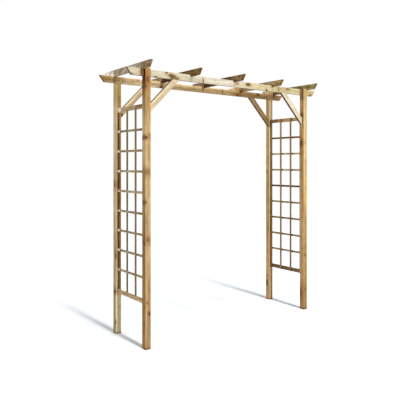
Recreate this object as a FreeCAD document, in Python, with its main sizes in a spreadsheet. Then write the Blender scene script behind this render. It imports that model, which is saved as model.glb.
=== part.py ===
import FreeCAD
import Part
import Sketcher
import os

# A flat-topped garden arch of planed softwood, in millimetres.
# X runs along the arch from left to right, Y from front to back and Z up.
# The origin is the middle of the arch's box, on the ground.

RAFTERS = 5
UPRIGHT_LATHS = 2
CROSS_LATHS = 8
# Which of the gaps between cross laths, counted from the top, hold a screw through the stile.
SCREWED_GAPS = (0, 3, 6)

SIZES = {
    # Posts: the spread and the depth are measured over their outer faces.
    "post_side": 48,
    "post_height": 2106,
    "post_spread": 1804,
    "post_depth": 506,
    "edge_ease": 2.5,
    # Beams lie in housings cut into the inner sides of the posts, a little below the post tops.
    "beam_height": 54,
    "beam_thickness": 24,
    "beam_overhang": 143,
    "beam_bevel": 42,
    "beam_drop": 6,
    # Rafters cross over both beams; the two at the ends are notched less and lie higher.
    "rafter_height": 51,
    "rafter_thickness": 27,
    "rafter_overhang": 107,
    "rafter_bevel": 35,
    "rafter_notch": 12,
    "end_rafter_notch": 3,
    "notch_clearance": 0.5,
    # Braces stand at 45 degrees; the reach is measured from the corner along post and beam.
    "brace_width": 48,
    "brace_thickness": 24,
    "brace_reach": 280,
    # Trellis panels fill the sides between a front and a back post.
    "panel_height": 1509,
    "panel_base": 333,
    "panel_inset": 12,
    "rail_height": 36,
    "lath_width": 18,
    "lath_thickness": 9,
    "lath_ease": 1.5,
    "lath_top_margin": 193,
    "lath_bottom_margin": 196,
    "upright_width": 17,
    "upright_thickness": 9,
    "stile_width": 16,
    "stile_thickness": 14,
    # Screws with flat heads sunk flush; a cover is the wood left beyond a tip.
    "screw_diameter": 5,
    "screw_head": 9.5,
    "screw_head_height": 3,
    "hole_clearance": 0.2,
    "beam_screw_pitch": 26,
    "beam_screw_cover": 5,
    "rafter_screw_cover": 14,
    "brace_screw_cover": 16,
    "brace_seat_margin": 1,
    "stile_screw_diameter": 4,
    "stile_screw_head": 8,
    "stile_screw_cover": 18,
    "pin_diameter": 1.8,
    "pin_cover": 2,
    # How far a cutting outline runs past the wood it cuts.
    "cut_margin": 10,
}

BEAM_TOP = "(Sizes.post_height - Sizes.beam_drop)"
BEAM_BASE = f"({BEAM_TOP} - Sizes.beam_height)"
BEAM_LENGTH = "(Sizes.post_spread + 2 * Sizes.beam_overhang)"
POST_TONGUE = "(Sizes.post_side - Sizes.beam_thickness)"
RAFTER_LENGTH = "(Sizes.post_depth + 2 * Sizes.rafter_overhang)"
RAFTER_PITCH = f"((Sizes.post_spread + Sizes.rafter_thickness) / {RAFTERS - 1})"
# The brace's width measured along its 45 degree end cut, and the middle of that cut.
MITRE = "(sqrt(2) * Sizes.brace_width)"
MITRE_MIDDLE = f"({MITRE} / 2)"
BRACE_SEAT = f"({MITRE_MIDDLE} - Sizes.screw_head / 2 - Sizes.brace_seat_margin)"
PANEL_WIDTH = "(Sizes.post_depth - 2 * Sizes.post_side)"
PANEL_TOP = "(Sizes.panel_base + Sizes.panel_height)"
COLUMN_PITCH = f"(({PANEL_WIDTH} - Sizes.stile_width) / {UPRIGHT_LATHS + 1})"
LATH_RUN = "(Sizes.panel_height - Sizes.lath_top_margin - Sizes.lath_bottom_margin)"
LATH_PITCH = f"({LATH_RUN} / {CROSS_LATHS - 1})"
LATH_TOP_CENTRE = "(Sizes.panel_height - Sizes.lath_top_margin)"
RAIL_CENTRES = ["Sizes.rail_height / 2", "Sizes.panel_height - Sizes.rail_height / 2"]
UPRIGHT_LAYER = "(Sizes.panel_inset + Sizes.lath_thickness)"
STILE_MIDDLE = f"({UPRIGHT_LAYER} + Sizes.stile_thickness / 2)"
PIN_BITE = "(Sizes.upright_thickness - Sizes.pin_cover)"
STILE_SCREW_BITE = "(Sizes.post_side - Sizes.stile_screw_cover)"
STILE_SCREW_HEIGHTS = [f"({LATH_TOP_CENTRE} - {gap + 0.5} * {LATH_PITCH})" for gap in SCREWED_GAPS]
BEAM_SCREW_HEIGHTS = [
    "(Sizes.beam_height / 2 - Sizes.beam_screw_pitch / 2)",
    "(Sizes.beam_height / 2 + Sizes.beam_screw_pitch / 2)",
]
SCREW_HOLE = "(Sizes.screw_diameter + Sizes.hole_clearance)"
HEAD_HOLE = "(Sizes.screw_head + Sizes.hole_clearance)"
STILE_SCREW_HOLE = "(Sizes.stile_screw_diameter + Sizes.hole_clearance)"
STILE_HEAD_HOLE = "(Sizes.stile_screw_head + Sizes.hole_clearance)"
PIN_HOLE = "(Sizes.pin_diameter + Sizes.hole_clearance)"

# The way each origin plane's sketch normal points along the axis it stands across.
PLANE_NORMAL = {"XY_Plane": 1, "XZ_Plane": -1, "YZ_Plane": 1}
X_AXIS = FreeCAD.Vector(1, 0, 0)
Y_AXIS = FreeCAD.Vector(0, 1, 0)
Z_AXIS = FreeCAD.Vector(0, 0, 1)
PARALLEL = 1e-6
SMALLEST_CUT = 1.0

doc = FreeCAD.newDocument("GardenArch")
sheet = doc.addObject("Spreadsheet::Sheet", "Sizes")
for row, (size_name, value) in enumerate(SIZES.items(), start=1):
    sheet.set(f"A{row}", size_name)
    sheet.set(f"B{row}", str(value))
    sheet.setAlias(f"B{row}", size_name)
doc.recompute()

nodes = []


def number(expression):
    """The value of an expression of the sheet's sizes."""
    return float(sheet.evalExpression(expression))


def set_in(side, spread, offset, size):
    """World position of a piece of a given size, set in from one outer side of the arch."""
    if side in ("left", "front"):
        return f"(-{spread} / 2 + {offset})"
    return f"({spread} / 2 - {offset} - {size})"


def mirrored(side, offset, whole):
    """A distance within a piece, measured from its outer side."""
    if side in ("left", "front"):
        return f"({offset})"
    return f"({whole} - {offset})"


def outward(side):
    """The way towards the arch's outside on one of its four sides."""
    return -1 if side in ("left", "front") else 1


def new_body(label, x, y, z, turn=0):
    body = doc.addObject("PartDesign::Body", label)
    body.Label = label
    body.Placement = FreeCAD.Placement(FreeCAD.Vector(), FreeCAD.Rotation(Z_AXIS, turn))
    for axis, expression in (("x", x), ("y", y), ("z", z)):
        body.setExpression(f"Placement.Base.{axis}", expression)
    nodes.append(body)
    return body


def origin_feature(body, role):
    return next(feature for feature in body.Origin.OriginFeatures if feature.Role == role)


def new_sketch(body, name, plane, at="0"):
    """A sketch on one of the body's origin planes, moved along the axis the plane stands across."""
    sketch = body.newObject("Sketcher::SketchObject", name)
    sketch.AttachmentSupport = [(origin_feature(body, plane), "")]
    sketch.MapMode = "FlatFace"
    sketch.setExpression("AttachmentOffset.Base.z", f"{PLANE_NORMAL[plane]} * ({at})")
    return sketch


def pin_point(sketch, line, position, across, up):
    """Fixes one point of a sketch's geometry at two expressions."""
    for kind, axis, expression in (("DistanceX", -2, across), ("DistanceY", -1, up)):
        if expression == "0":
            sketch.addConstraint(Sketcher.Constraint("PointOnObject", line, position, axis))
        else:
            rule = Sketcher.Constraint(kind, -1, 1, line, position, number(expression))
            index = sketch.addConstraint(rule)
            sketch.setExpression(f"Constraints[{index}]", expression)


def add_outline(sketch, corners):
    """A closed outline through corners given as pairs of expressions."""
    points = [FreeCAD.Vector(number(across), number(up), 0) for across, up in corners]
    following = points[1:] + points[:1]
    lines = [sketch.addGeometry(Part.LineSegment(a, b), False) for a, b in zip(points, following)]
    for line, next_line in zip(lines, lines[1:] + lines[:1]):
        sketch.addConstraint(Sketcher.Constraint("Coincident", line, 2, next_line, 1))
    for line, (across, up) in zip(lines, corners):
        pin_point(sketch, line, 1, across, up)


def add_circle(sketch, across, up, diameter):
    centre = FreeCAD.Vector(number(across), number(up), 0)
    circle = sketch.addGeometry(Part.Circle(centre, Z_AXIS, number(diameter) / 2), False)
    pin_point(sketch, circle, 3, across, up)
    index = sketch.addConstraint(Sketcher.Constraint("Diameter", circle, number(diameter)))
    sketch.setExpression(f"Constraints[{index}]", diameter)


def add_pad(body, sketch, plane, length):
    pad = body.newObject("PartDesign::Pad", "Stock")
    pad.Profile = sketch
    pad.Reversed = PLANE_NORMAL[plane] < 0
    pad.setExpression("Length", length)
    body.Tip = pad
    doc.recompute()
    return pad


def add_pocket(body, sketch, plane, toward, depth=None):
    """Cuts a sketch into the body towards + or - along its axis, right through with no depth."""
    pocket = body.newObject("PartDesign::Pocket", "Cut")
    pocket.Profile = sketch
    pocket.Reversed = toward * PLANE_NORMAL[plane] > 0
    if depth is None:
        pocket.Type = "ThroughAll"
    else:
        pocket.setExpression("Length", depth)
    body.Tip = pocket
    doc.recompute()
    return pocket


def drill(body, plane, at, toward, centres, diameter, depth=None):
    sketch = new_sketch(body, "Holes", plane, at)
    for across, up in centres:
        add_circle(sketch, across, up, diameter)
    return add_pocket(body, sketch, plane, toward, depth)


def repeat(body, pocket, axis, span, count):
    pattern = body.newObject("PartDesign::LinearPattern", "Row")
    pattern.Originals = [pocket]
    pattern.Direction = (origin_feature(body, axis), [""])
    pattern.setExpression("Length", span)
    pattern.Occurrences = count
    body.Tip = pattern
    doc.recompute()


def ease_edges(body, pad, direction, radius):
    """Rounds the long edges of a piece of stock."""
    names = []
    for index, edge in enumerate(pad.Shape.Edges, start=1):
        run = edge.Vertexes[-1].Point - edge.Vertexes[0].Point
        if run.cross(direction).Length < PARALLEL * run.Length:
            names.append(f"Edge{index}")
    fillet = body.newObject("PartDesign::Fillet", "EasedEdges")
    fillet.Base = (pad, names)
    fillet.setExpression("Radius", radius)
    body.Tip = fillet
    doc.recompute()


def rectangle(width, height):
    return [("0", "0"), (width, "0"), (width, height), ("0", height)]


def bevelled(length, height, bevel):
    """A board on edge whose ends slope back towards the underside."""
    return [(bevel, "0"), (f"{length} - {bevel}", "0"), (length, height), ("0", height)]


def cut_stock(body, plane, corners, length, grain, radius):
    """A plain piece of timber with its edges along the grain eased."""
    sketch = new_sketch(body, "Section", plane)
    add_outline(sketch, corners)
    pad = add_pad(body, sketch, plane, length)
    ease_edges(body, pad, grain, radius)


def make_post(front_back, left_right):
    side = "Sizes.post_side"
    body = new_body(
        f"post_{front_back}_{left_right}",
        set_in(left_right, "Sizes.post_spread", "0", side),
        set_in(front_back, "Sizes.post_depth", "0", side),
        "0",
    )
    cut_stock(body, "XY_Plane", rectangle(side, side), "Sizes.post_height", Z_AXIS, "Sizes.edge_ease")

    shoulder = mirrored(front_back, POST_TONGUE, side)
    beyond = mirrored(front_back, f"({side} + Sizes.cut_margin)", side)
    above = "Sizes.post_height + Sizes.cut_margin"
    housing = new_sketch(body, "Housing", "YZ_Plane")
    corners = [(shoulder, BEAM_BASE), (beyond, BEAM_BASE), (beyond, above), (shoulder, above)]
    add_outline(housing, corners)
    add_pocket(body, housing, "YZ_Plane", 1)

    into_tongue = outward(front_back)
    heights = [f"{BEAM_BASE} + {height}" for height in BEAM_SCREW_HEIGHTS]
    centres = [(f"{side} / 2", height) for height in heights]
    bite = f"{POST_TONGUE} - Sizes.beam_screw_cover"
    drill(body, "XZ_Plane", shoulder, into_tongue, centres, SCREW_HOLE, bite)

    inner_face = mirrored(front_back, side, side)
    stile_middle = mirrored(left_right, STILE_MIDDLE, side)
    centres = [(stile_middle, f"Sizes.panel_base + {height}") for height in STILE_SCREW_HEIGHTS]
    drill(body, "XZ_Plane", inner_face, into_tongue, centres, STILE_SCREW_HOLE, STILE_SCREW_BITE)

    brace_face = mirrored(left_right, side, side)
    brace_middle = mirrored(front_back, f"({side} - Sizes.brace_thickness / 2)", side)
    brace_height = f"{BEAM_BASE} - Sizes.brace_reach + {MITRE_MIDDLE}"
    bite = f"{side} - Sizes.brace_screw_cover"
    drill(body, "YZ_Plane", brace_face, outward(left_right), [(brace_middle, brace_height)], SCREW_HOLE, bite)


def make_beam(front_back):
    thickness = "Sizes.beam_thickness"
    body = new_body(
        f"beam_{front_back}",
        f"-{BEAM_LENGTH} / 2",
        set_in(front_back, "Sizes.post_depth", POST_TONGUE, thickness),
        BEAM_BASE,
    )
    outline = bevelled(BEAM_LENGTH, "Sizes.beam_height", "Sizes.beam_bevel")
    cut_stock(body, "XZ_Plane", outline, thickness, X_AXIS, "Sizes.edge_ease")

    inner_face = mirrored(front_back, thickness, thickness)
    to_post = outward(front_back)
    near_post = "Sizes.beam_overhang + Sizes.post_side / 2"
    along = [near_post, f"{BEAM_LENGTH} - ({near_post})"]
    centres = [(across, height) for across in along for height in BEAM_SCREW_HEIGHTS]
    drill(body, "XZ_Plane", inner_face, to_post, centres, SCREW_HOLE)
    drill(body, "XZ_Plane", inner_face, to_post, centres, HEAD_HOLE, "Sizes.screw_head_height")

    first_rafter = "Sizes.beam_overhang - Sizes.rafter_thickness / 2"
    along = [f"{first_rafter} + {index} * {RAFTER_PITCH}" for index in range(RAFTERS)]
    centres = [(across, f"{thickness} / 2") for across in along]
    bite = "Sizes.beam_height - Sizes.rafter_screw_cover"
    drill(body, "XY_Plane", "Sizes.beam_height", -1, centres, SCREW_HOLE, bite)

    brace_middle = mirrored(front_back, f"({thickness} - Sizes.brace_thickness / 2)", thickness)
    brace_end = f"Sizes.beam_overhang + Sizes.post_side + Sizes.brace_reach - {MITRE_MIDDLE}"
    centres = [(brace_end, brace_middle), (f"{BEAM_LENGTH} - ({brace_end})", brace_middle)]
    drill(body, "XY_Plane", "0", 1, centres, SCREW_HOLE, "Sizes.beam_height - Sizes.brace_screw_cover")


def rafter_notch(index):
    """The depth of a rafter's notches over the beams."""
    return "Sizes.end_rafter_notch" if index in (0, RAFTERS - 1) else "Sizes.rafter_notch"


def make_rafter(index):
    thickness = "Sizes.rafter_thickness"
    height = "Sizes.rafter_height"
    notch = rafter_notch(index)
    body = new_body(
        f"rafter_{index + 1}",
        f"-Sizes.post_spread / 2 - {thickness} + {index} * {RAFTER_PITCH}",
        f"-{RAFTER_LENGTH} / 2",
        f"{BEAM_TOP} - {notch}",
    )
    outline = bevelled(RAFTER_LENGTH, height, "Sizes.rafter_bevel")
    cut_stock(body, "YZ_Plane", outline, thickness, Y_AXIS, "Sizes.edge_ease")

    notches = new_sketch(body, "Notches", "YZ_Plane")
    beam_inner = "Sizes.rafter_overhang + Sizes.post_side"
    low = f"({beam_inner} - Sizes.beam_thickness - Sizes.notch_clearance)"
    high = f"({beam_inner} + Sizes.notch_clearance)"
    for start, end in ((low, high), (f"{RAFTER_LENGTH} - {high}", f"{RAFTER_LENGTH} - {low}")):
        below = "-Sizes.cut_margin"
        add_outline(notches, [(start, below), (end, below), (end, notch), (start, notch)])
    add_pocket(body, notches, "YZ_Plane", 1)

    beam_middle = f"({beam_inner} - Sizes.beam_thickness / 2)"
    centres = [(f"{thickness} / 2", y) for y in (beam_middle, f"{RAFTER_LENGTH} - {beam_middle}")]
    drill(body, "XY_Plane", height, -1, centres, SCREW_HOLE)
    drill(body, "XY_Plane", height, -1, centres, HEAD_HOLE, "Sizes.screw_head_height")


def make_brace(front_back, left_right):
    thickness = "Sizes.brace_thickness"
    reach = "Sizes.brace_reach"
    near = set_in(front_back, "Sizes.post_depth", f"(Sizes.post_side - {thickness})", thickness)
    turned = left_right == "right"
    body = new_body(
        f"brace_{front_back}_{left_right}",
        set_in(left_right, "Sizes.post_spread", "Sizes.post_side", "0"),
        f"{near} + {thickness}" if turned else near,
        f"{BEAM_BASE} - {reach}",
        180 if turned else 0,
    )
    outline = [("0", "0"), (reach, reach), (f"{reach} - {MITRE}", reach), ("0", MITRE)]
    cut_stock(body, "XZ_Plane", outline, thickness, X_AXIS + Z_AXIS, "Sizes.edge_ease")

    to_post = [(f"{thickness} / 2", MITRE_MIDDLE)]
    drill(body, "YZ_Plane", "0", 1, to_post, SCREW_HOLE)
    drill(body, "YZ_Plane", BRACE_SEAT, 1, to_post, HEAD_HOLE)
    to_beam = [(f"{reach} - {MITRE_MIDDLE}", f"{thickness} / 2")]
    drill(body, "XY_Plane", reach, -1, to_beam, SCREW_HOLE)
    drill(body, "XY_Plane", f"{reach} - {BRACE_SEAT}", -1, to_beam, HEAD_HOLE)


def make_horizontal(label, side, height, width):
    """A rail or cross lath of a trellis panel, in the panel's outer layer."""
    thickness = "Sizes.lath_thickness"
    body = new_body(
        label,
        set_in(side, "Sizes.post_spread", "Sizes.panel_inset", thickness),
        f"-{PANEL_WIDTH} / 2",
        f"Sizes.panel_base + {height} - {width} / 2",
    )
    cut_stock(body, "XZ_Plane", rectangle(thickness, width), PANEL_WIDTH, Y_AXIS, "Sizes.lath_ease")
    first_pin = [("Sizes.stile_width / 2", f"{width} / 2")]
    pins = drill(body, "YZ_Plane", thickness, -1, first_pin, PIN_HOLE)
    repeat(body, pins, "Y_Axis", f"{COLUMN_PITCH} * {UPRIGHT_LATHS + 1}", UPRIGHT_LATHS + 2)


def make_upright(label, side, column, width, thickness):
    """A stile or upright lath of a trellis panel, behind its rails and cross laths."""
    body = new_body(
        label,
        set_in(side, "Sizes.post_spread", UPRIGHT_LAYER, thickness),
        f"-{PANEL_WIDTH} / 2 + Sizes.stile_width / 2 + {column} * {COLUMN_PITCH} - {width} / 2",
        "Sizes.panel_base",
    )
    section = rectangle(thickness, width)
    cut_stock(body, "XY_Plane", section, "Sizes.panel_height", Z_AXIS, "Sizes.lath_ease")
    outer_face = mirrored(side, "0", thickness)
    inward = -outward(side)
    rail_pins = [(f"{width} / 2", height) for height in RAIL_CENTRES]
    drill(body, "YZ_Plane", outer_face, inward, rail_pins, PIN_HOLE, PIN_BITE)
    last_lath = [(f"{width} / 2", "Sizes.lath_bottom_margin")]
    pins = drill(body, "YZ_Plane", outer_face, inward, last_lath, PIN_HOLE, PIN_BITE)
    repeat(body, pins, "Z_Axis", LATH_RUN, CROSS_LATHS)
    return body


def make_stile(side, front_back):
    width = "Sizes.stile_width"
    thickness = "Sizes.stile_thickness"
    column = 0 if front_back == "front" else UPRIGHT_LATHS + 1
    body = make_upright(f"{side}_{front_back}_stile", side, column, width, thickness)
    free_edge = mirrored(front_back, width, width)
    to_post = outward(front_back)
    centres = [(f"{thickness} / 2", height) for height in STILE_SCREW_HEIGHTS]
    drill(body, "XZ_Plane", free_edge, to_post, centres, STILE_SCREW_HOLE)
    drill(body, "XZ_Plane", free_edge, to_post, centres, STILE_HEAD_HOLE, "Sizes.screw_head_height")


def make_trellis(side):
    rail = "Sizes.rail_height"
    make_horizontal(f"{side}_bottom_rail", side, RAIL_CENTRES[0], rail)
    make_horizontal(f"{side}_top_rail", side, RAIL_CENTRES[1], rail)
    make_stile(side, "front")
    make_stile(side, "back")
    for column in range(1, UPRIGHT_LATHS + 1):
        label = f"{side}_upright_lath_{column}"
        make_upright(label, side, column, "Sizes.upright_width", "Sizes.upright_thickness")
    for index in range(CROSS_LATHS):
        height = f"{LATH_TOP_CENTRE} - {index} * {LATH_PITCH}"
        make_horizontal(f"{side}_cross_lath_{index + 1}", side, height, "Sizes.lath_width")


def screw(diameter, head, length):
    """A screw with a flat head, its head's outer face at the origin and its point down."""
    radius = number(diameter) / 2
    rim = number(head) / 2
    under = number("Sizes.screw_head_height")
    end = number(length)
    outline = [(0, 0), (rim, 0), (rim, -under), (radius, -under), (radius, -end + 2 * radius), (0, -end)]
    points = [FreeCAD.Vector(x, 0, z) for x, z in outline + outline[:1]]
    return Part.Face(Part.makePolygon(points)).revolve(FreeCAD.Vector(), Z_AXIS, 360)


def driven(shape, place, direction):
    """A copy of a fastener driven into the wood at a place, along a direction."""
    copy = shape.copy()
    spot = FreeCAD.Vector(*[number(part) for part in place])
    copy.Placement = FreeCAD.Placement(spot, FreeCAD.Rotation(-Z_AXIS, direction))
    return copy


def make_group(label, shapes):
    """A node of identical, separate fasteners."""
    group = doc.addObject("Part::Feature", label)
    group.Label = label
    group.Shape = Part.makeCompound(shapes)
    nodes.append(group)


def make_beam_screws():
    one = screw("Sizes.screw_diameter", "Sizes.screw_head", "Sizes.post_side - Sizes.beam_screw_cover")
    shapes = []
    for front_back in ("front", "back"):
        y = set_in(front_back, "Sizes.post_depth", "Sizes.post_side", "0")
        for left_right in ("left", "right"):
            x = set_in(left_right, "Sizes.post_spread", "Sizes.post_side / 2", "0")
            for height in BEAM_SCREW_HEIGHTS:
                place = (x, y, f"{BEAM_BASE} + {height}")
                shapes.append(driven(one, place, Y_AXIS * outward(front_back)))
    make_group("beam_screws", shapes)


def make_rafter_screws():
    shapes = []
    bite = "Sizes.beam_height - Sizes.rafter_screw_cover"
    beam_middle = "(Sizes.post_side - Sizes.beam_thickness / 2)"
    for index in range(RAFTERS):
        notch = rafter_notch(index)
        one = screw("Sizes.screw_diameter", "Sizes.screw_head", f"Sizes.rafter_height - {notch} + {bite}")
        x = f"-Sizes.post_spread / 2 - Sizes.rafter_thickness / 2 + {index} * {RAFTER_PITCH}"
        for front_back in ("front", "back"):
            y = set_in(front_back, "Sizes.post_depth", beam_middle, "0")
            place = (x, y, f"{BEAM_TOP} - {notch} + Sizes.rafter_height")
            shapes.append(driven(one, place, -Z_AXIS))
    make_group("rafter_screws", shapes)


def make_brace_screws():
    head_face = f"({BRACE_SEAT} + Sizes.screw_head_height)"
    to_post = f"{head_face} + Sizes.post_side - Sizes.brace_screw_cover"
    to_beam = f"{head_face} + Sizes.beam_height - Sizes.brace_screw_cover"
    post_screw = screw("Sizes.screw_diameter", "Sizes.screw_head", to_post)
    beam_screw = screw("Sizes.screw_diameter", "Sizes.screw_head", to_beam)
    spread = "Sizes.post_spread"
    upper = f"(Sizes.post_side + Sizes.brace_reach - {MITRE_MIDDLE})"
    brace_middle = "(Sizes.post_side - Sizes.brace_thickness / 2)"
    shapes = []
    for front_back in ("front", "back"):
        y = set_in(front_back, "Sizes.post_depth", brace_middle, "0")
        for left_right in ("left", "right"):
            lower = set_in(left_right, spread, f"(Sizes.post_side + {head_face})", "0")
            low_place = (lower, y, f"{BEAM_BASE} - Sizes.brace_reach + {MITRE_MIDDLE}")
            shapes.append(driven(post_screw, low_place, X_AXIS * outward(left_right)))
            high_place = (set_in(left_right, spread, upper, "0"), y, f"{BEAM_BASE} - {head_face}")
            shapes.append(driven(beam_screw, high_place, Z_AXIS))
    make_group("brace_screws", shapes)


def make_trellis_screws(side):
    length = f"Sizes.stile_width + {STILE_SCREW_BITE}"
    one = screw("Sizes.stile_screw_diameter", "Sizes.stile_screw_head", length)
    x = set_in(side, "Sizes.post_spread", STILE_MIDDLE, "0")
    shapes = []
    for front_back in ("front", "back"):
        y = set_in(front_back, "Sizes.post_depth", "(Sizes.post_side + Sizes.stile_width)", "0")
        for height in STILE_SCREW_HEIGHTS:
            place = (x, y, f"Sizes.panel_base + {height}")
            shapes.append(driven(one, place, Y_AXIS * outward(front_back)))
    make_group(f"{side}_trellis_screws", shapes)


def make_lath_pins(side):
    length = number(f"Sizes.lath_thickness + {PIN_BITE}")
    one = Part.makeCylinder(number("Sizes.pin_diameter / 2"), length, FreeCAD.Vector(), -Z_AXIS)
    x = set_in(side, "Sizes.post_spread", "Sizes.panel_inset", "0")
    lath_centres = [f"{LATH_TOP_CENTRE} - {index} * {LATH_PITCH}" for index in range(CROSS_LATHS)]
    shapes = []
    for column in range(UPRIGHT_LATHS + 2):
        y = f"-{PANEL_WIDTH} / 2 + Sizes.stile_width / 2 + {column} * {COLUMN_PITCH}"
        for height in RAIL_CENTRES + lath_centres:
            place = (x, y, f"Sizes.panel_base + {height}")
            shapes.append(driven(one, place, -X_AXIS * outward(side)))
    make_group(f"{side}_lath_pins", shapes)


for front_back in ("front", "back"):
    make_beam(front_back)
    for left_right in ("left", "right"):
        make_post(front_back, left_right)
        make_brace(front_back, left_right)
for index in range(RAFTERS):
    make_rafter(index)
make_beam_screws()
make_rafter_screws()
make_brace_screws()
for side in ("left", "right"):
    make_trellis(side)
    make_trellis_screws(side)
    make_lath_pins(side)
doc.recompute()

for item in doc.Objects:
    if "Invalid" in item.State or "Error" in item.State:
        raise RuntimeError(f"{item.Label} was not built")
    if item.TypeId in ("PartDesign::Pocket", "PartDesign::LinearPattern"):
        if item.BaseFeature.Shape.Volume - item.Shape.Volume < SMALLEST_CUT:
            raise RuntimeError(f"{item.Label} cuts nothing")

os.makedirs("parts", exist_ok=True)
for node in nodes:
    if node.Shape.isNull() or not node.Shape.isValid():
        raise RuntimeError(f"{node.Label} has no sound shape")
    node.Shape.exportStep(f"parts/{node.Label}.step")
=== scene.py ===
import math

import bpy
from mathutils import Euler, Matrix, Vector

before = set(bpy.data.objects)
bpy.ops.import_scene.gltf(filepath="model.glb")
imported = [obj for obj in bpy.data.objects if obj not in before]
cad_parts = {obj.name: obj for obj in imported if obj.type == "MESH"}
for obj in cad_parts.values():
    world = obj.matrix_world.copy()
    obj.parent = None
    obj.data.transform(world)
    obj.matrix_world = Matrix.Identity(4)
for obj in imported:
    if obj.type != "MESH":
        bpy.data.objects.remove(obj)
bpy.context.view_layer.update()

# Lengths are in metres, in the arch's own frame: X along the beams, Y from front to back, Z up.


def srgb(red, green, blue):
    """A colour written as it is seen, from 0 to 255, as the shader's linear values."""
    parts = [value / 255 for value in (red, green, blue)]
    linear = [p / 12.92 if p <= 0.04045 else ((p + 0.055) / 1.055) ** 2.4 for p in parts]
    return (*linear, 1.0)


# How a timber's coordinates are turned so that its grain runs along Z.
GRAIN_TURN = {
    "upright": (0.0, 0.0, 0.0),
    "lengthwise": (0.0, math.radians(-90), 0.0),
    "crosswise": (math.radians(90), 0.0, 0.0),
    "rising right": (0.0, math.radians(-45), 0.0),
    "rising left": (0.0, math.radians(45), 0.0),
}
# An axis runs along a timber where its share of the grain's direction is more than this.
ALONG_GRAIN = 0.6
# A face counts as a sawn end or a flank as it turns from the first of these to the second.
FACE_TURN = (0.45, 0.7)
# The way a branch ran through a timber; its knot shows on the two faces across it.
THROUGH_X = (0.0, 1.0, 1.0)
THROUGH_Y = (1.0, 0.0, 1.0)
# A knot that ends inside the timber shows on one face alone.
SHALLOW = (1.0, 1.0, 1.0)

# The tones of one timber against its mean colour.
PALE_LIFT = (1.24, 1.27, 1.32, 1.0)
LATE_SHADE = (0.68, 0.61, 0.5, 1.0)
HEART_SHADE = (0.82, 0.7, 0.54, 1.0)
STAIN_SHADE = (0.62, 0.49, 0.34, 1.0)
HALO_SHADE = (0.62, 0.42, 0.25, 1.0)
SAWN_SHADE = (0.38, 0.31, 0.23, 1.0)
# Painted shade at a foot, where it meets the floor.
PAINTED_FOOT_SHADE = (0.4, 0.32, 0.24, 1.0)
FIBRE_TONES = (0.88, 1.1)
BARK_BROWN = srgb(58, 34, 20)
SPLIT_BROWN = srgb(70, 46, 26)
# How much of each mark shows in the colour.
RING_SHARE = 0.55
STREAK_SHARE = 0.6
ARRIS_SHARE = 0.5
HALO_SHARE = 0.7
BARK_SHARE = 0.8
SPLIT_SHARE = 0.75
# How far up from the floor a timber's foot is darkened, as painted shade where it meets the floor.
PAINTED_FOOT_REACH = 0.022
ARRIS_WIDTH = 0.005
# Planed wood, between its fibres and on them; sawn ends are rougher and knots smoother.
PLANED_ROUGHNESS = (0.56, 0.7)
SAWN_ROUGHER = 0.12
KNOT_SMOOTHER = 0.18
# Late rings, fibres and knots stand up, and splits are cut in.
RING_RELIEF = 0.35
FIBRE_RELIEF = 0.3
KNOT_RELIEF = 0.5
SPLIT_RELIEF = -1.5
RELIEF_DEPTH = 0.0012
RELIEF_STRENGTH = 0.35
WOOD_SHEEN = 0.05
# How far apart the stretches of grain lie that two timbers are cut from.
SEED_STEP = Vector((0.731, 1.243, 1.681))

# A knot's zones, in half widths from its middle: where each one ends and where it is full.
KNOT_CORE = (1.15, 0.7)
KNOT_HALO = (3.4, 0.6)
# Where the bark line lies around a knot, and how it fades to either side.
BARK_RIM = 0.95
BARK_FADE = (0.3, 0.05)
# How ragged a knot's outline is, how fine that is, and how far the grain bows past it.
KNOT_RAGGED = 1.5
KNOT_RAGGED_SCALE = 75.0
GRAIN_BOW = -0.8

# Marks from noise drawn out along the grain: its stretch, scale, detail and roughness, and where
# the mark starts and is full.
DRAWN_MARKS = {
    "Streaks": (0.045, 58.0, 3.0, 0.5, 0.4, 0.62),
    "Bands": (0.03, 24.0, 2.0, 0.5, 0.44, 0.62),
    "Fibres": (0.02, 620.0, 3.0, 0.6, 0.3, 0.7),
    "Patches": (0.25, 14.0, 3.0, 0.6, 0.46, 0.66),
    "Mottle": (0.45, 42.0, 3.0, 0.55, 0.45, 0.59),
}
FIGURE = ("Rings", *DRAWN_MARKS, "Pips", "Splits")
# Growth rings, and how they wander along the timber.
RING_WAVE = {"Scale": 50.0, "Distortion": 1.6, "Detail": 2.0, "Detail Scale": 1.2}
RING_FADE = (0.35, 1.0)
WANDER_STRETCH = (1.0, 1.0, 0.07)
WANDER_SCALE = 11.0
WANDER_REACH = (0.05, 0.05, 0.0)
# Pin knots: how long and how far apart they are, how they fade, and how few of them show.
PIP_STRETCH = (1.0, 1.0, 0.4)
PIP_SCALE = 13.0
PIP_FADE = (0.17, 0.07)
PIP_CHOICE = (0.74, 0.78)
# Drying splits: thin lines along the grain, in a few places.
SPLIT_STRETCH = 0.02
SPLIT_SCALE = 95.0
SPLIT_LINE = (0.011, 0.003)
SPLIT_PLACE_STRETCH = 0.5
SPLIT_PLACE_SCALE = 8.0
SPLIT_PLACES = (0.56, 0.66)
# How unevenly an arris is lightened, partly as wear and partly as a painted highlight.
ARRIS_STRETCH = 0.25
ARRIS_SCALE = 60.0
NOISE_MIDDLE = 0.5


def put(tree, kind, inputs=None, **settings):
    """Adds a node, sets its options, and fills or links its inputs."""
    node = tree.nodes.new(kind)
    for name, value in settings.items():
        setattr(node, name, value)
    for name, value in (inputs or {}).items():
        if isinstance(value, bpy.types.NodeSocket):
            tree.links.new(value, node.inputs[name])
        else:
            node.inputs[name].default_value = value
    return node


def calc(tree, operation, first, second=0.0, clamp=False):
    inputs = {0: first, 1: second}
    node = put(tree, "ShaderNodeMath", inputs, operation=operation, use_clamp=clamp)
    return node.outputs[0]


def times(tree, first, second):
    return calc(tree, "MULTIPLY", first, second)


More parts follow.
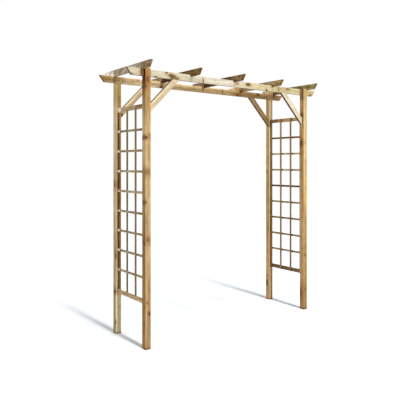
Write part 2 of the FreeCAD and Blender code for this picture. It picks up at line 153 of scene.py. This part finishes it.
def vector_calc(tree, operation, first, second=(0.0, 0.0, 0.0)):
    node = put(tree, "ShaderNodeVectorMath", {0: first, 1: second}, operation=operation)
    return node.outputs["Value" if operation == "LENGTH" else "Vector"]


def ease(tree, value, start, end):
    """A soft step from 0 at one value to 1 at another."""
    inputs = {"Value": value, "From Min": start, "From Max": end}
    node = put(tree, "ShaderNodeMapRange", inputs, interpolation_type="SMOOTHSTEP")
    return node.outputs[0]


def between(tree, value, low, high):
    """A value from 0 to 1 spread over another range."""
    inputs = {"Value": value, "To Min": low, "To Max": high}
    return put(tree, "ShaderNodeMapRange", inputs).outputs[0]


def mix(tree, factor, first, second, blend="MIX"):
    inputs = {"Factor": factor, 6: first, 7: second}
    node = put(tree, "ShaderNodeMix", inputs, data_type="RGBA", blend_type=blend)
    return node.outputs[2]


def shaded(tree, colour, shade):
    return mix(tree, 1.0, colour, shade, "MULTIPLY")


def height_of(tree, position):
    return put(tree, "ShaderNodeSeparateXYZ", {"Vector": position}).outputs["Z"]


def noise(tree, position, scale, detail=2.0, roughness=0.5):
    inputs = {"Vector": position, "Scale": scale, "Detail": detail, "Roughness": roughness}
    return put(tree, "ShaderNodeTexNoise", inputs)


def drawn_noise(tree, position, stretch, scale, detail=2.0, roughness=0.5):
    """Noise drawn out along the grain."""
    place = vector_calc(tree, "MULTIPLY", position, (1.0, 1.0, stretch))
    return noise(tree, place, scale, detail, roughness).outputs["Fac"]


SOCKETS = {"vector": "NodeSocketVector", "value": "NodeSocketFloat", "colour": "NodeSocketColor"}


def new_group(name, inputs, outputs):
    """An empty shader group with its named sockets, and the two nodes that hold them."""
    tree = bpy.data.node_groups.new(name, "ShaderNodeTree")
    for way, sockets in (("INPUT", inputs), ("OUTPUT", outputs)):
        for label, kind in sockets.items():
            tree.interface.new_socket(name=label, in_out=way, socket_type=SOCKETS[kind])
    start = tree.nodes.new("NodeGroupInput").outputs
    end = tree.nodes.new("NodeGroupOutput").inputs
    return tree, start, end


def make_knot_group():
    """One branch knot: its ragged core, bark line and brown halo, and the grain bowed past it."""
    sockets = {"Position": "vector", "Centre": "vector", "Reach": "vector", "Darkness": "value"}
    marks = {"Knots": "value", "Bark": "value", "Halo": "value"}
    results = {"Position": "vector", **marks}
    tree, given, result = new_group("branch_knot", {**sockets, **marks}, results)
    away = vector_calc(tree, "SUBTRACT", given["Position"], given["Centre"])
    spread = vector_calc(tree, "MULTIPLY", away, given["Reach"])
    ragged = noise(tree, given["Position"], KNOT_RAGGED_SCALE, detail=3.0).outputs["Fac"]
    ragged = times(tree, calc(tree, "SUBTRACT", ragged, NOISE_MIDDLE), KNOT_RAGGED)
    distance = calc(tree, "ADD", vector_calc(tree, "LENGTH", spread), ragged)
    core = times(tree, ease(tree, distance, *KNOT_CORE), given["Darkness"])
    rim = calc(tree, "ABSOLUTE", calc(tree, "SUBTRACT", distance, BARK_RIM))
    bark = times(tree, ease(tree, rim, *BARK_FADE), given["Darkness"])
    halo = ease(tree, distance, *KNOT_HALO)
    bow = {0: away, "Scale": times(tree, halo, GRAIN_BOW)}
    shift = put(tree, "ShaderNodeVectorMath", bow, operation="SCALE").outputs["Vector"]
    tree.links.new(vector_calc(tree, "ADD", given["Position"], shift), result["Position"])
    for name, mark in (("Knots", core), ("Bark", bark), ("Halo", halo)):
        tree.links.new(calc(tree, "MAXIMUM", given[name], mark), result[name])
    return tree


def make_grain_group():
    """Softwood grain along Z: rings, streaks, bands, fibres, patches, mottle, pin knots, splits."""
    sockets = {"Position": "vector", "Section": "vector"}
    results = {name: "value" for name in FIGURE}
    tree, given, result = new_group("long_grain", sockets, results)
    place = given["Position"]
    drawn = vector_calc(tree, "MULTIPLY", place, WANDER_STRETCH)
    wander = noise(tree, drawn, WANDER_SCALE).outputs["Color"]
    wander = vector_calc(tree, "SUBTRACT", wander, (NOISE_MIDDLE,) * 3)
    wander = vector_calc(tree, "MULTIPLY", wander, WANDER_REACH)
    rings = put(
        tree,
        "ShaderNodeTexWave",
        {"Vector": vector_calc(tree, "ADD", given["Section"], wander), **RING_WAVE},
        wave_type="RINGS",
        rings_direction="Z",
        wave_profile="SAW",
    )
    tree.links.new(ease(tree, rings.outputs["Fac"], *RING_FADE), result["Rings"])

    for name, (stretch, scale, detail, roughness, start, full) in DRAWN_MARKS.items():
        mark = drawn_noise(tree, place, stretch, scale, detail, roughness)
        tree.links.new(ease(tree, mark, start, full), result[name])

    cells = vector_calc(tree, "MULTIPLY", place, PIP_STRETCH)
    pips = put(tree, "ShaderNodeTexVoronoi", {"Vector": cells, "Scale": PIP_SCALE})
    chance = put(tree, "ShaderNodeSeparateColor", {"Color": pips.outputs["Color"]}).outputs[0]
    chosen = ease(tree, chance, *PIP_CHOICE)
    core = ease(tree, pips.outputs["Distance"], *PIP_FADE)
    tree.links.new(times(tree, core, chosen), result["Pips"])

    crack = drawn_noise(tree, place, SPLIT_STRETCH, SPLIT_SCALE, detail=1.0)
    crack = calc(tree, "ABSOLUTE", calc(tree, "SUBTRACT", crack, NOISE_MIDDLE))
    here = drawn_noise(tree, place, SPLIT_PLACE_STRETCH, SPLIT_PLACE_SCALE)
    split = times(tree, ease(tree, crack, *SPLIT_LINE), ease(tree, here, *SPLIT_PLACES))
    tree.links.new(split, result["Splits"])
    return tree


def make_arris_group():
    """How near a point lies to one of a timber's long edges."""
    sockets = {"Position": "vector", "Middle": "vector", "Half": "vector", "Width": "value"}
    tree, given, result = new_group("timber_arris", sockets, {"Arris": "value"})
    away = vector_calc(tree, "SUBTRACT", given["Position"], given["Middle"])
    inside = vector_calc(tree, "SUBTRACT", given["Half"], vector_calc(tree, "ABSOLUTE", away))
    parts = put(tree, "ShaderNodeSeparateXYZ", {"Vector": inside}).outputs
    distance = calc(tree, "MAXIMUM", parts["X"], parts["Y"])
    worn = drawn_noise(tree, given["Position"], ARRIS_STRETCH, ARRIS_SCALE)
    reach = times(tree, given["Width"], calc(tree, "ADD", worn, NOISE_MIDDLE))
    near = calc(tree, "SUBTRACT", 1.0, calc(tree, "DIVIDE", distance, reach), clamp=True)
    tree.links.new(ease(tree, near, 0.0, 1.0), result["Arris"])
    return tree


def make_finish_group():
    """Colour, roughness and relief of planed, treated softwood from its grain and its mean tone."""
    values = FIGURE + ("Knots", "Bark", "Halo", "Arris", "End", "Painted Foot Shade")
    amounts = ("Stain Amount", "Mottle Amount", "Pip Amount")
    sockets = {name: "value" for name in values + amounts}
    sockets.update({"Tone": "colour", "Knot Colour": "colour"})
    results = {"Colour": "colour", "Roughness": "value", "Relief": "value"}
    tree, given, result = new_group("planed_softwood", sockets, results)
    tone = given["Tone"]
    pale = shaded(tree, tone, PALE_LIFT)
    late = shaded(tree, tone, LATE_SHADE)
    wood = mix(tree, times(tree, given["Rings"], RING_SHARE), pale, late)
    wood = mix(tree, times(tree, given["Streaks"], STREAK_SHARE), wood, late)
    heartwood = times(tree, given["Bands"], given["Stain Amount"])
    wood = mix(tree, heartwood, wood, shaded(tree, wood, HEART_SHADE))
    stain = times(tree, given["Patches"], given["Stain Amount"])
    wood = mix(tree, stain, wood, shaded(tree, tone, STAIN_SHADE))
    blotch = times(tree, given["Mottle"], given["Mottle Amount"])
    wood = mix(tree, blotch, wood, shaded(tree, wood, STAIN_SHADE))
    wood = shaded(tree, wood, between(tree, given["Fibres"], *FIBRE_TONES))
    # Edges are lightened to the pale tone, partly as wear and partly as a painted highlight.
    wood = mix(tree, times(tree, given["Arris"], ARRIS_SHARE), wood, pale)
    halo = times(tree, given["Halo"], HALO_SHARE)
    wood = mix(tree, halo, wood, shaded(tree, tone, HALO_SHADE))
    pips = times(tree, given["Pips"], given["Pip Amount"])
    core = calc(tree, "MAXIMUM", given["Knots"], pips)
    wood = mix(tree, core, wood, given["Knot Colour"])
    wood = mix(tree, times(tree, given["Bark"], BARK_SHARE), wood, BARK_BROWN)
    wood = mix(tree, times(tree, given["Splits"], SPLIT_SHARE), wood, SPLIT_BROWN)
    wood = mix(tree, given["End"], wood, shaded(tree, wood, SAWN_SHADE))
    # Painted shade near the floor.
    wood = mix(tree, given["Painted Foot Shade"], wood, shaded(tree, wood, PAINTED_FOOT_SHADE))
    tree.links.new(wood, result["Colour"])

    rough = between(tree, given["Fibres"], *PLANED_ROUGHNESS)
    rough = calc(tree, "ADD", rough, times(tree, given["End"], SAWN_ROUGHER))
    rough = calc(tree, "SUBTRACT", rough, times(tree, core, KNOT_SMOOTHER))
    tree.links.new(rough, result["Roughness"])

    relief = times(tree, given["Rings"], RING_RELIEF)
    relief = calc(tree, "ADD", relief, times(tree, given["Fibres"], FIBRE_RELIEF))
    relief = calc(tree, "ADD", relief, times(tree, core, KNOT_RELIEF))
    relief = calc(tree, "ADD", relief, times(tree, given["Splits"], SPLIT_RELIEF))
    tree.links.new(relief, result["Relief"])
    return tree


KNOT = make_knot_group()
GRAIN = make_grain_group()
ARRIS = make_arris_group()
FINISH = make_finish_group()


def place_group(tree, group, inputs):
    return put(tree, "ShaderNodeGroup", inputs, node_tree=group).outputs


def new_material(name):
    material = bpy.data.materials.new(name)
    material.use_nodes = True
    tree = material.node_tree
    return material, tree, tree.nodes["Principled BSDF"]


def turned(tree, vector, turn, kind="POINT"):
    """A place or a direction in coordinates turned to a timber's grain."""
    inputs = {"Vector": vector, "Rotation": turn}
    return put(tree, "ShaderNodeMapping", inputs, vector_type=kind).outputs[0]


def turned_box(node, turn):
    """The middle and half size of a timber, in coordinates turned to its grain."""
    rotation = Euler(turn).to_matrix()
    points = [rotation @ vertex.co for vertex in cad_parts[node].data.vertices]
    lows = [min(point[i] for point in points) for i in range(3)]
    highs = [max(point[i] for point in points) for i in range(3)]
    middle = Vector([(a + b) / 2 for a, b in zip(lows, highs)])
    return middle, Vector([(b - a) / 2 for a, b in zip(lows, highs)])


def tone_along(tree, position, middle, half, tones, stops):
    """The mean colour along a timber, from its low, left or front end; stops place the tones."""
    ends = {"From Min": middle.z - half.z, "From Max": middle.z + half.z}
    along = put(tree, "ShaderNodeMapRange", {"Value": height_of(tree, position), **ends})
    node = put(tree, "ShaderNodeValToRGB", {"Fac": along.outputs[0]})
    ramp = node.color_ramp
    ramp.interpolation = "EASE"
    while len(ramp.elements) < len(tones):
        ramp.elements.new(0.5)
    last = max(len(tones) - 1, 1)
    for index, element in enumerate(ramp.elements):
        element.position = stops[index] if stops else index / last
        element.color = srgb(*tones[min(index, len(tones) - 1)])
    return node.outputs["Color"]


def add_knots(tree, position, turn, knots):
    """The place bowed around a timber's knots, and the marks that they leave."""
    marks = {"Knots": 0.0, "Bark": 0.0, "Halo": 0.0}
    along = Euler(turn).to_matrix().inverted() @ Vector((0, 0, 1))
    for centre, size, stretch, across, darkness in knots:
        longer = [stretch if abs(part) > ALONG_GRAIN else 1.0 for part in along]
        reach = [across[i] / (size * longer[i]) for i in range(3)]
        given = {"Position": position, "Centre": centre, "Reach": reach, "Darkness": darkness}
        found = place_group(tree, KNOT, {**given, **marks})
        position = found["Position"]
        marks = {name: found[name] for name in marks}
    return position, marks


def timber_material(node, wood, seed, knots):
    """The wood of one timber: its own stretch of grain, its tones and its knots."""
    material, tree, shader = new_material(f"wood_{node}")
    coordinates = put(tree, "ShaderNodeTexCoord").outputs
    turn = GRAIN_TURN[wood["grain"]]
    middle, half = turned_box(node, turn)
    place, marks = add_knots(tree, coordinates["Object"], turn, knots)
    bowed = turned(tree, place, turn)
    heart = Vector((wood["heart"][0] - middle.x, wood["heart"][1] - middle.y, 0.0))
    own_place = vector_calc(tree, "ADD", bowed, SEED_STEP * seed)
    section = vector_calc(tree, "ADD", bowed, heart)
    figure = place_group(tree, GRAIN, {"Position": own_place, "Section": section})

    plain = turned(tree, coordinates["Object"], turn)
    edges = {"Position": plain, "Middle": middle, "Half": half, "Width": ARRIS_WIDTH}
    arris = place_group(tree, ARRIS, edges)["Arris"]
    facing = turned(tree, coordinates["Normal"], turn, "NORMAL")
    faces = put(tree, "ShaderNodeSeparateXYZ", {"Vector": facing}).outputs
    end = ease(tree, calc(tree, "ABSOLUTE", faces["Z"]), *FACE_TURN)
    tone = tone_along(tree, plain, middle, half, wood["tones"], wood["stops"])
    if wood["flank"]:
        flank = ease(tree, calc(tree, "ABSOLUTE", faces["X"]), *FACE_TURN)
        side = tone_along(tree, plain, middle, half, wood["flank"], wood["flank_stops"])
        tone = mix(tree, flank, tone, side)

    given = {name: figure[name] for name in FIGURE}
    given.update(marks)
    given["Arris"] = arris
    given["End"] = times(tree, end, wood["sawn"])
    given["Painted Foot Shade"] = ease(tree, height_of(tree, coordinates["Object"]), PAINTED_FOOT_REACH, 0.0)
    given["Tone"] = tone
    given["Knot Colour"] = wood["knot"]
    given["Stain Amount"] = wood["stain"]
    given["Mottle Amount"] = wood["mottle"]
    given["Pip Amount"] = wood["pips"]
    surface = place_group(tree, FINISH, given)
    tree.links.new(surface["Colour"], shader.inputs["Base Color"])
    tree.links.new(surface["Roughness"], shader.inputs["Roughness"])
    shader.inputs["Specular IOR Level"].default_value = WOOD_SHEEN
    relief = {"Height": surface["Relief"], "Strength": RELIEF_STRENGTH, "Distance": RELIEF_DEPTH}
    bump = put(tree, "ShaderNodeBump", relief)
    tree.links.new(bump.outputs[0], shader.inputs["Normal"])
    return material


DEFAULT_WOOD = {
    "flank": (),
    "stops": (),
    "flank_stops": (),
    "stain": 0.5,
    "mottle": 0.3,
    "pips": 0.6,
    "sawn": 1.0,
    "heart": (0.05, 0.03),
    "knot": srgb(104, 62, 34),
}


def timber(grain, *tones, **changes):
    """One timber's wood; flank gives its sides, or a beam's top and underside, other tones."""
    return {**DEFAULT_WOOD, "grain": grain, "tones": tones, **changes}


# Where the tones of a rafter's sides lie: at its front end, behind the front beam, before the
# back beam and past it.
# The sides are darker between the beams than past the back beam: painted shade, deepest on rafters
# 2 and 3.
RAFTER_STOPS = (0.0, 0.42, 0.73, 0.8)
# Rafters are stained and blotched, and their ends are less dark than other sawn ends.
RAFTER_FINISH = {"mottle": 1.0, "stain": 0.7, "sawn": 0.55}


def rafter(top, *sides):
    """A rafter's wood: the tone of its top and underside, then the tones along its sides."""
    return timber("crosswise", top, flank=sides, flank_stops=RAFTER_STOPS, **RAFTER_FINISH)


# Each knot: its centre, its half width, how much longer it is along the grain, the way it runs
# and how dark it is.
KNOTS = {
    "post_front_left": [
        ((-0.884, -0.253, 2.020), 0.013, 1.6, THROUGH_Y, 0.5),
        ((-0.897, -0.253, 1.985), 0.008, 2.5, THROUGH_Y, 0.6),
        ((-0.897, -0.253, 1.584), 0.009, 1.3, THROUGH_Y, 0.85),
        ((-0.902, -0.244, 1.584), 0.008, 1.4, THROUGH_X, 0.6),
        ((-0.877, -0.253, 1.594), 0.012, 1.2, THROUGH_Y, 0.25),
        ((-0.881, -0.253, 1.327), 0.016, 1.3, THROUGH_Y, 0.35),
        ((-0.899, -0.253, 1.100), 0.006, 1.5, THROUGH_Y, 0.7),
        ((-0.878, -0.253, 0.822), 0.014, 1.3, THROUGH_Y, 0.4),
        ((-0.902, -0.239, 0.804), 0.009, 1.5, THROUGH_X, 0.6),
        ((-0.886, -0.253, 0.349), 0.005, 1.2, THROUGH_Y, 0.7),
        ((-0.866, -0.253, 0.267), 0.009, 1.5, THROUGH_Y, 1.0),
    ],
    "post_front_right": [
        ((0.854, -0.225, 1.861), 0.009, 1.8, THROUGH_X, 0.8),
        ((0.854, -0.221, 1.588), 0.014, 1.6, THROUGH_X, 1.0),
        ((0.868, -0.253, 0.519), 0.006, 1.3, SHALLOW, 0.9),
        ((0.854, -0.212, 0.155), 0.013, 3.6, SHALLOW, 1.0),
        ((0.876, -0.253, 0.190), 0.006, 1.6, SHALLOW, 0.6),
    ],
    "post_back_left": [
        ((-0.902, 0.224, 1.220), 0.014, 1.8, THROUGH_X, 0.6),
        ((-0.902, 0.213, 0.643), 0.008, 3.5, SHALLOW, 0.6),
        ((-0.902, 0.221, 0.344), 0.013, 1.3, SHALLOW, 1.0),
        ((-0.902, 0.214, 0.093), 0.008, 2.0, SHALLOW, 0.8),
    ],
    "post_back_right": [
        ((0.854, 0.238, 0.168), 0.011, 2.6, SHALLOW, 1.0),
        ((0.854, 0.238, 0.224), 0.007, 1.5, SHALLOW, 0.5),
        ((0.854, 0.238, 1.308), 0.007, 1.4, THROUGH_X, 0.6),
    ],
    "beam_front": [
        # Painted shade on the beam beside the front left post, drawn as a dark knot mark.
        ((-0.914, -0.229, 2.072), 0.034, 0.4, THROUGH_Y, 0.7),
        ((-0.795, -0.229, 2.048), 0.006, 1.3, THROUGH_Y, 1.0),
        ((-0.696, -0.229, 2.091), 0.006, 2.2, THROUGH_Y, 0.8),
        ((-0.658, -0.229, 2.075), 0.012, 1.6, THROUGH_Y, 0.9),
        ((-0.635, -0.229, 2.064), 0.012, 1.8, THROUGH_Y, 0.8),
        ((-0.610, -0.229, 2.052), 0.010, 1.8, THROUGH_Y, 0.7),
        ((-0.338, -0.229, 2.059), 0.016, 0.3, THROUGH_Y, 0.8),
        ((0.032, -0.229, 2.078), 0.008, 1.6, THROUGH_Y, 0.6),
        ((0.159, -0.229, 2.082), 0.011, 2.2, THROUGH_Y, 0.9),
        ((0.382, -0.229, 2.053), 0.007, 1.2, THROUGH_Y, 0.9),
        ((0.538, -0.229, 2.072), 0.013, 0.6, THROUGH_Y, 0.4),
        ((0.660, -0.229, 2.087), 0.010, 1.8, THROUGH_Y, 0.5),
        # Painted shade on the beam beside the front right post, drawn as a dark knot mark.
        ((0.843, -0.229, 2.072), 0.034, 0.35, THROUGH_Y, 0.7),
        ((0.975, -0.229, 2.055), 0.006, 1.8, THROUGH_Y, 0.8),
    ],
    "beam_back": [
        ((-0.465, 0.205, 2.055), 0.011, 1.6, THROUGH_Y, 0.8),
        ((0.230, 0.205, 2.066), 0.014, 0.4, THROUGH_Y, 0.6),
        ((0.420, 0.205, 2.060), 0.010, 1.6, THROUGH_Y, 0.6),
        ((0.695, 0.205, 2.084), 0.010, 2.0, THROUGH_Y, 0.8),
    ],
    "rafter_3": [
        ((-0.0135, -0.309, 2.125), 0.007, 1.3, THROUGH_X, 1.0),
        ((-0.0135, -0.240, 2.095), 0.007, 1.4, THROUGH_X, 0.9),
    ],
    "rafter_4": [
        ((0.444, -0.235, 2.100), 0.008, 1.6, THROUGH_X, 0.6),
        ((0.444, 0.188, 2.093), 0.008, 1.5, THROUGH_X, 0.9),
    ],
    "rafter_5": [((0.902, 0.190, 2.101), 0.009, 1.5, THROUGH_X, 1.0)],
    "brace_back_left": [((-0.851, 0.205, 1.789), 0.008, 1.3, THROUGH_Y, 0.9)],
}

# The braces' narrow faces are painted dark as painted shade, the left braces' much darker than the
# right ones'.
LEFT_BRACE_SHADED_EDGE = ((48, 30, 12),)
RIGHT_BRACE_SHADED_EDGE = ((122, 90, 54),)
# Each timber's tones run from its low, left or front end to the other.
TIMBERS = {
    "post_front_left": timber(
        "upright",
        (187, 157, 117),
        (198, 165, 119),
        (219, 193, 151),
        (222, 190, 138),
        (195, 153, 94),
        # Its side darkens sharply at the top, beside the beam: painted shade.
        flank=(
            (152, 115, 65),
            (142, 109, 68),
            (162, 134, 90),
            (190, 174, 136),
            (146, 120, 80),
            (88, 46, 12),
        ),
        flank_stops=(0.0, 0.36, 0.56, 0.78, 0.9, 0.945),
    ),
    "post_front_right": timber(
        "upright",
        (167, 133, 84),
        (185, 150, 91),
        (214, 176, 108),
        (231, 206, 143),
        (210, 184, 125),
        flank=((174, 138, 94), (206, 177, 135), (195, 161, 114), (180, 145, 96), (180, 147, 96)),
    ),
    "post_back_left": timber(
        "upright",
        (255, 242, 202),
        (222, 193, 144),
        (209, 179, 115),
        flank=((164, 147, 113), (182, 164, 127), (201, 185, 151), (202, 189, 162), (187, 167, 134)),
        knot=srgb(68, 42, 20),
    ),
    "post_back_right": timber(
        "upright",
        (204, 173, 132),
        (200, 168, 126),
        (236, 212, 172),
        (250, 236, 206),
        (216, 190, 152),
        stops=(0.0, 0.3, 0.45, 0.7, 0.88),
        flank=((198, 164, 112), (183, 150, 103), (187, 159, 112), (192, 162, 111)),
        knot=srgb(68, 42, 20),
    ),
    "beam_front": timber(
        "lengthwise",
        (212, 201, 173),
        (227, 220, 195),
        (242, 235, 219),
        (216, 202, 163),
        (216, 206, 161),
        (204, 183, 134),
        stops=(0.0, 0.25, 0.45, 0.62, 0.9, 0.94),
        # Its top and underside are given a darker tone as painted shade.
        flank=((170, 158, 134),),
        stain=0.25,
        mottle=0.2,
        knot=srgb(108, 82, 36),
    ),
    "beam_back": timber(
        "lengthwise",
        (186, 155, 97),
        (250, 228, 185),
        (230, 205, 157),
        (223, 195, 144),
        (172, 142, 98),
        (174, 144, 98),
        mottle=0.5,
    ),
    "brace_front_left": timber(
        "rising right", (237, 220, 184), flank=LEFT_BRACE_SHADED_EDGE, pips=0.3, stain=0.2
    ),
    "brace_front_right": timber(
        "rising left", (229, 221, 195), flank=RIGHT_BRACE_SHADED_EDGE, pips=0.3, stain=0.2
    ),
    "brace_back_left": timber(
        "rising right", (241, 218, 176), flank=LEFT_BRACE_SHADED_EDGE, pips=0.3, stain=0.3
    ),
    "brace_back_right": timber(
        "rising left", (192, 163, 120), flank=RIGHT_BRACE_SHADED_EDGE, pips=0.4, stain=0.4
    ),
    "rafter_1": rafter(
        (184, 166, 130), (143, 122, 88), (195, 193, 176), (180, 160, 131), (246, 245, 242)
    ),
    "rafter_2": rafter(
        (150, 118, 74), (145, 123, 64), (84, 50, 18), (66, 37, 10), (174, 149, 107)
    ),
    "rafter_3": rafter(
        (156, 126, 82), (151, 130, 84), (88, 54, 22), (68, 40, 12), (150, 125, 84)
    ),
    "rafter_4": rafter(
        (188, 164, 118), (200, 190, 152), (158, 133, 92), (172, 147, 99), (226, 206, 160)
    ),
    "rafter_5": rafter(
        (176, 162, 112), (170, 167, 117), (142, 130, 88), (98, 78, 38), (222, 206, 166)
    ),
    "left_top_rail": timber(
        "crosswise",
        (179, 155, 124),
        (185, 161, 127),
        (242, 222, 192),
        stops=(0.0, 0.78, 0.92),
        mottle=1.0,
    ),
    "left_bottom_rail": timber("crosswise", (193, 169, 133), mottle=0.8),
    "right_top_rail": timber("crosswise", (190, 158, 118), mottle=0.6),
    "right_bottom_rail": timber("crosswise", (125, 102, 74), mottle=0.8),
}
# The cross laths from the top down. Each left lath is paler at its back end.
LEFT_LATHS = (
    (130, 112, 84),
    (161, 145, 118),
    (165, 147, 118),
    (173, 157, 130),
    (159, 141, 112),
    (169, 153, 126),
    (163, 147, 120),
    (169, 151, 122),
)
LEFT_LATH_STOPS = (0.0, 0.55, 0.86, 0.93)
LEFT_LATH_MIDDLE = (178, 160, 132)
LEFT_LATH_BACK = (236, 222, 196)
RIGHT_LATHS = (
    (132, 94, 52),
    (186, 162, 130),
    (192, 170, 140),
    (100, 64, 36),
    (164, 136, 96),
    (154, 124, 84),
    (154, 126, 88),
    (158, 130, 92),
)
# Each right lath is painted dark just in front of the two uprights, as painted shadow of the
# uprights.
RIGHT_LATH_STOPS = (0.255, 0.288, 0.321, 0.575, 0.608, 0.641)
LATH_PAINTED_SHADOW = (40, 26, 14)
for index, tone in enumerate(LEFT_LATHS, start=1):
    tones = (tone, LEFT_LATH_MIDDLE, tone, LEFT_LATH_BACK)
    lath = timber("crosswise", *tones, stops=LEFT_LATH_STOPS, mottle=1.0)
    TIMBERS[f"left_cross_lath_{index}"] = lath
for index, tone in enumerate(RIGHT_LATHS, start=1):
    tones = (tone, LATH_PAINTED_SHADOW, tone) * 2
    lath = timber("crosswise", *tones, stops=RIGHT_LATH_STOPS, mottle=0.8)
    TIMBERS[f"right_cross_lath_{index}"] = lath
UPRIGHTS = {"left": (146, 123, 77), "right": (160, 131, 86)}
STILES = {"left": ((196, 156, 100), (72, 36, 10)), "right": ((150, 116, 72), (112, 82, 46))}
for side in ("left", "right"):
    for index in (1, 2):
        TIMBERS[f"{side}_upright_lath_{index}"] = timber("upright", UPRIGHTS[side], mottle=0.6)
    front, flank = STILES[side]
    for end in ("front", "back"):
        TIMBERS[f"{side}_{end}_stile"] = timber("upright", front, flank=(flank,), mottle=0.5)


def dress(node, material):
    """Gives a node's surface its material."""
    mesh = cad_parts[node].data
    mesh.materials.clear()
    mesh.materials.append(material)


for seed, (node, wood) in enumerate(TIMBERS.items(), start=1):
    dress(node, timber_material(node, wood, seed, KNOTS.get(node, [])))

COATING_BROWN = srgb(98, 74, 48)
COATING_RUBBED = srgb(150, 136, 112)
# How fine the rubbed specks of the coating are, and how few.
RUBBED_SCALE = 900.0
RUBBED_PLACES = (0.55, 0.68)
# Coated and rubbed, in that order.
COATING_ROUGHNESS = (0.5, 0.32)
RUBBED_METALLIC = 0.8


def make_coating():
    """Brown screw coating, rubbed through in specks."""
    material, tree, shader = new_material("screw_coating")
    position = put(tree, "ShaderNodeTexCoord").outputs["Object"]
    specks = noise(tree, position, RUBBED_SCALE, detail=3.0).outputs["Fac"]
    rubbed = ease(tree, specks, *RUBBED_PLACES)
    colour = mix(tree, rubbed, COATING_BROWN, COATING_RUBBED)
    tree.links.new(colour, shader.inputs["Base Color"])
    tree.links.new(between(tree, rubbed, *COATING_ROUGHNESS), shader.inputs["Roughness"])
    tree.links.new(times(tree, rubbed, RUBBED_METALLIC), shader.inputs["Metallic"])
    return material


COATING = make_coating()
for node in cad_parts:
    if node.endswith(("_screws", "_pins")):
        dress(node, COATING)

# Studio: a white floor and even light all round, with four plain lights.
SKY_LEVEL = 0.37
SKY_TINT = (0.88, 0.94, 1.0, 1.0)
WHITE = (1.0, 1.0, 1.0, 1.0)
FLOOR_HALF = 14.0
# The floor as it is seen, with a cool tint for its shadow, and as it lights the arch.
FLOOR_SEEN = (0.962, 0.981, 1.0, 1.0)
FLOOR_BOUNCE = (0.53, 0.53, 0.53, 1.0)
# A tall narrow key light high in front throws the posts' narrow shadows backwards. The other
# lights stand far off and low: one in front a little to the left, one behind on the left, and
# one for the faces on the right. Azimuth 0 is straight in front, and a minus is left.
LIGHTS = {
    "key_light": {
        "distance": 150.0,
        "azimuth": -0.5,
        "elevation": 71.0,
        "width": 7.0,
        "height": 95.0,
        "watts": 172000.0,
    },
    "front_light": {
        "distance": 60.0,
        "azimuth": -2.2,
        "elevation": 3.5,
        "width": 2.5,
        "height": 2.5,
        "watts": 16000.0,
    },
    "side_light": {
        "distance": 60.0,
        "azimuth": -135.0,
        "elevation": 6.0,
        "width": 2.0,
        "height": 2.0,
        "watts": 20500.0,
    },
    "right_light": {
        "distance": 60.0,
        "azimuth": 110.0,
        "elevation": 2.5,
        "width": 2.0,
        "height": 2.0,
        "watts": 11000.0,
    },
}
AIM = Vector((0.0, 0.0, 0.6))


def white_to_camera(tree):
    """1 for a ray that shows the surface to the camera, straight or in a reflection."""
    rays = put(tree, "ShaderNodeLightPath").outputs
    seen = calc(tree, "MAXIMUM", rays["Is Camera Ray"], rays["Is Glossy Ray"])
    return calc(tree, "MAXIMUM", seen, rays["Is Transmission Ray"])


def make_floor():
    corners = [(-1, -1), (1, -1), (1, 1), (-1, 1)]
    points = [(x * FLOOR_HALF, y * FLOOR_HALF, 0.0) for x, y in corners]
    mesh = bpy.data.meshes.new("studio_floor")
    mesh.from_pydata(points, [], [(0, 1, 2, 3)])
    floor = bpy.data.objects.new("studio_floor", mesh)
    bpy.context.scene.collection.objects.link(floor)
    material, tree, shader = new_material("studio_white")
    colour = mix(tree, white_to_camera(tree), FLOOR_BOUNCE, FLOOR_SEEN)
    tree.links.new(colour, shader.inputs["Base Color"])
    shader.inputs["Roughness"].default_value = 1.0
    shader.inputs["Specular IOR Level"].default_value = 0.0
    mesh.materials.append(material)


def make_world():
    world = bpy.data.worlds.new("studio_world")
    world.use_nodes = True
    bpy.context.scene.world = world
    tree = world.node_tree
    background = tree.nodes["Background"]
    seen = white_to_camera(tree)
    tree.links.new(mix(tree, seen, SKY_TINT, WHITE), background.inputs["Color"])
    tree.links.new(between(tree, seen, SKY_LEVEL, 1.0), background.inputs["Strength"])


def make_panel_light(name, distance, azimuth, elevation, width, height, watts):
    """A plain rectangular light aimed at the arch."""
    lamp = bpy.data.lights.new(name, "AREA")
    lamp.shape = "RECTANGLE"
    lamp.size = width
    lamp.size_y = height
    lamp.energy = watts
    light = bpy.data.objects.new(name, lamp)
    turn = Euler((math.radians(90 - elevation), 0.0, math.radians(azimuth)))
    light.location = AIM + turn.to_matrix() @ Vector((0.0, 0.0, distance))
    light.rotation_euler = turn
    light.visible_camera = False
    bpy.context.scene.collection.objects.link(light)


# The photograph's camera: level, with the horizon above the middle of the frame.
CAMERA_PLACE = (-2.8941, -3.52245, 1.38397)
CAMERA_YAW = 37.4481
FOCAL_PIXELS = 511.45
FRAME_PIXELS = 400.0
HORIZON_ROW = 164.335
SENSOR_WIDTH = 36.0


def make_camera():
    data = bpy.data.cameras.new("photo_camera")
    data.sensor_width = SENSOR_WIDTH
    data.lens = FOCAL_PIXELS / FRAME_PIXELS * SENSOR_WIDTH
    data.shift_y = (HORIZON_ROW - FRAME_PIXELS / 2) / FRAME_PIXELS
    camera = bpy.data.objects.new("photo_camera", data)
    camera.location = CAMERA_PLACE
    camera.rotation_euler = (math.radians(90), 0.0, math.radians(-CAMERA_YAW))
    bpy.context.scene.collection.objects.link(camera)
    bpy.context.scene.camera = camera


make_floor()
make_world()
for name, values in LIGHTS.items():
    make_panel_light(name, **values)
make_camera()
bpy.context.scene.view_settings.view_transform = "Standard"
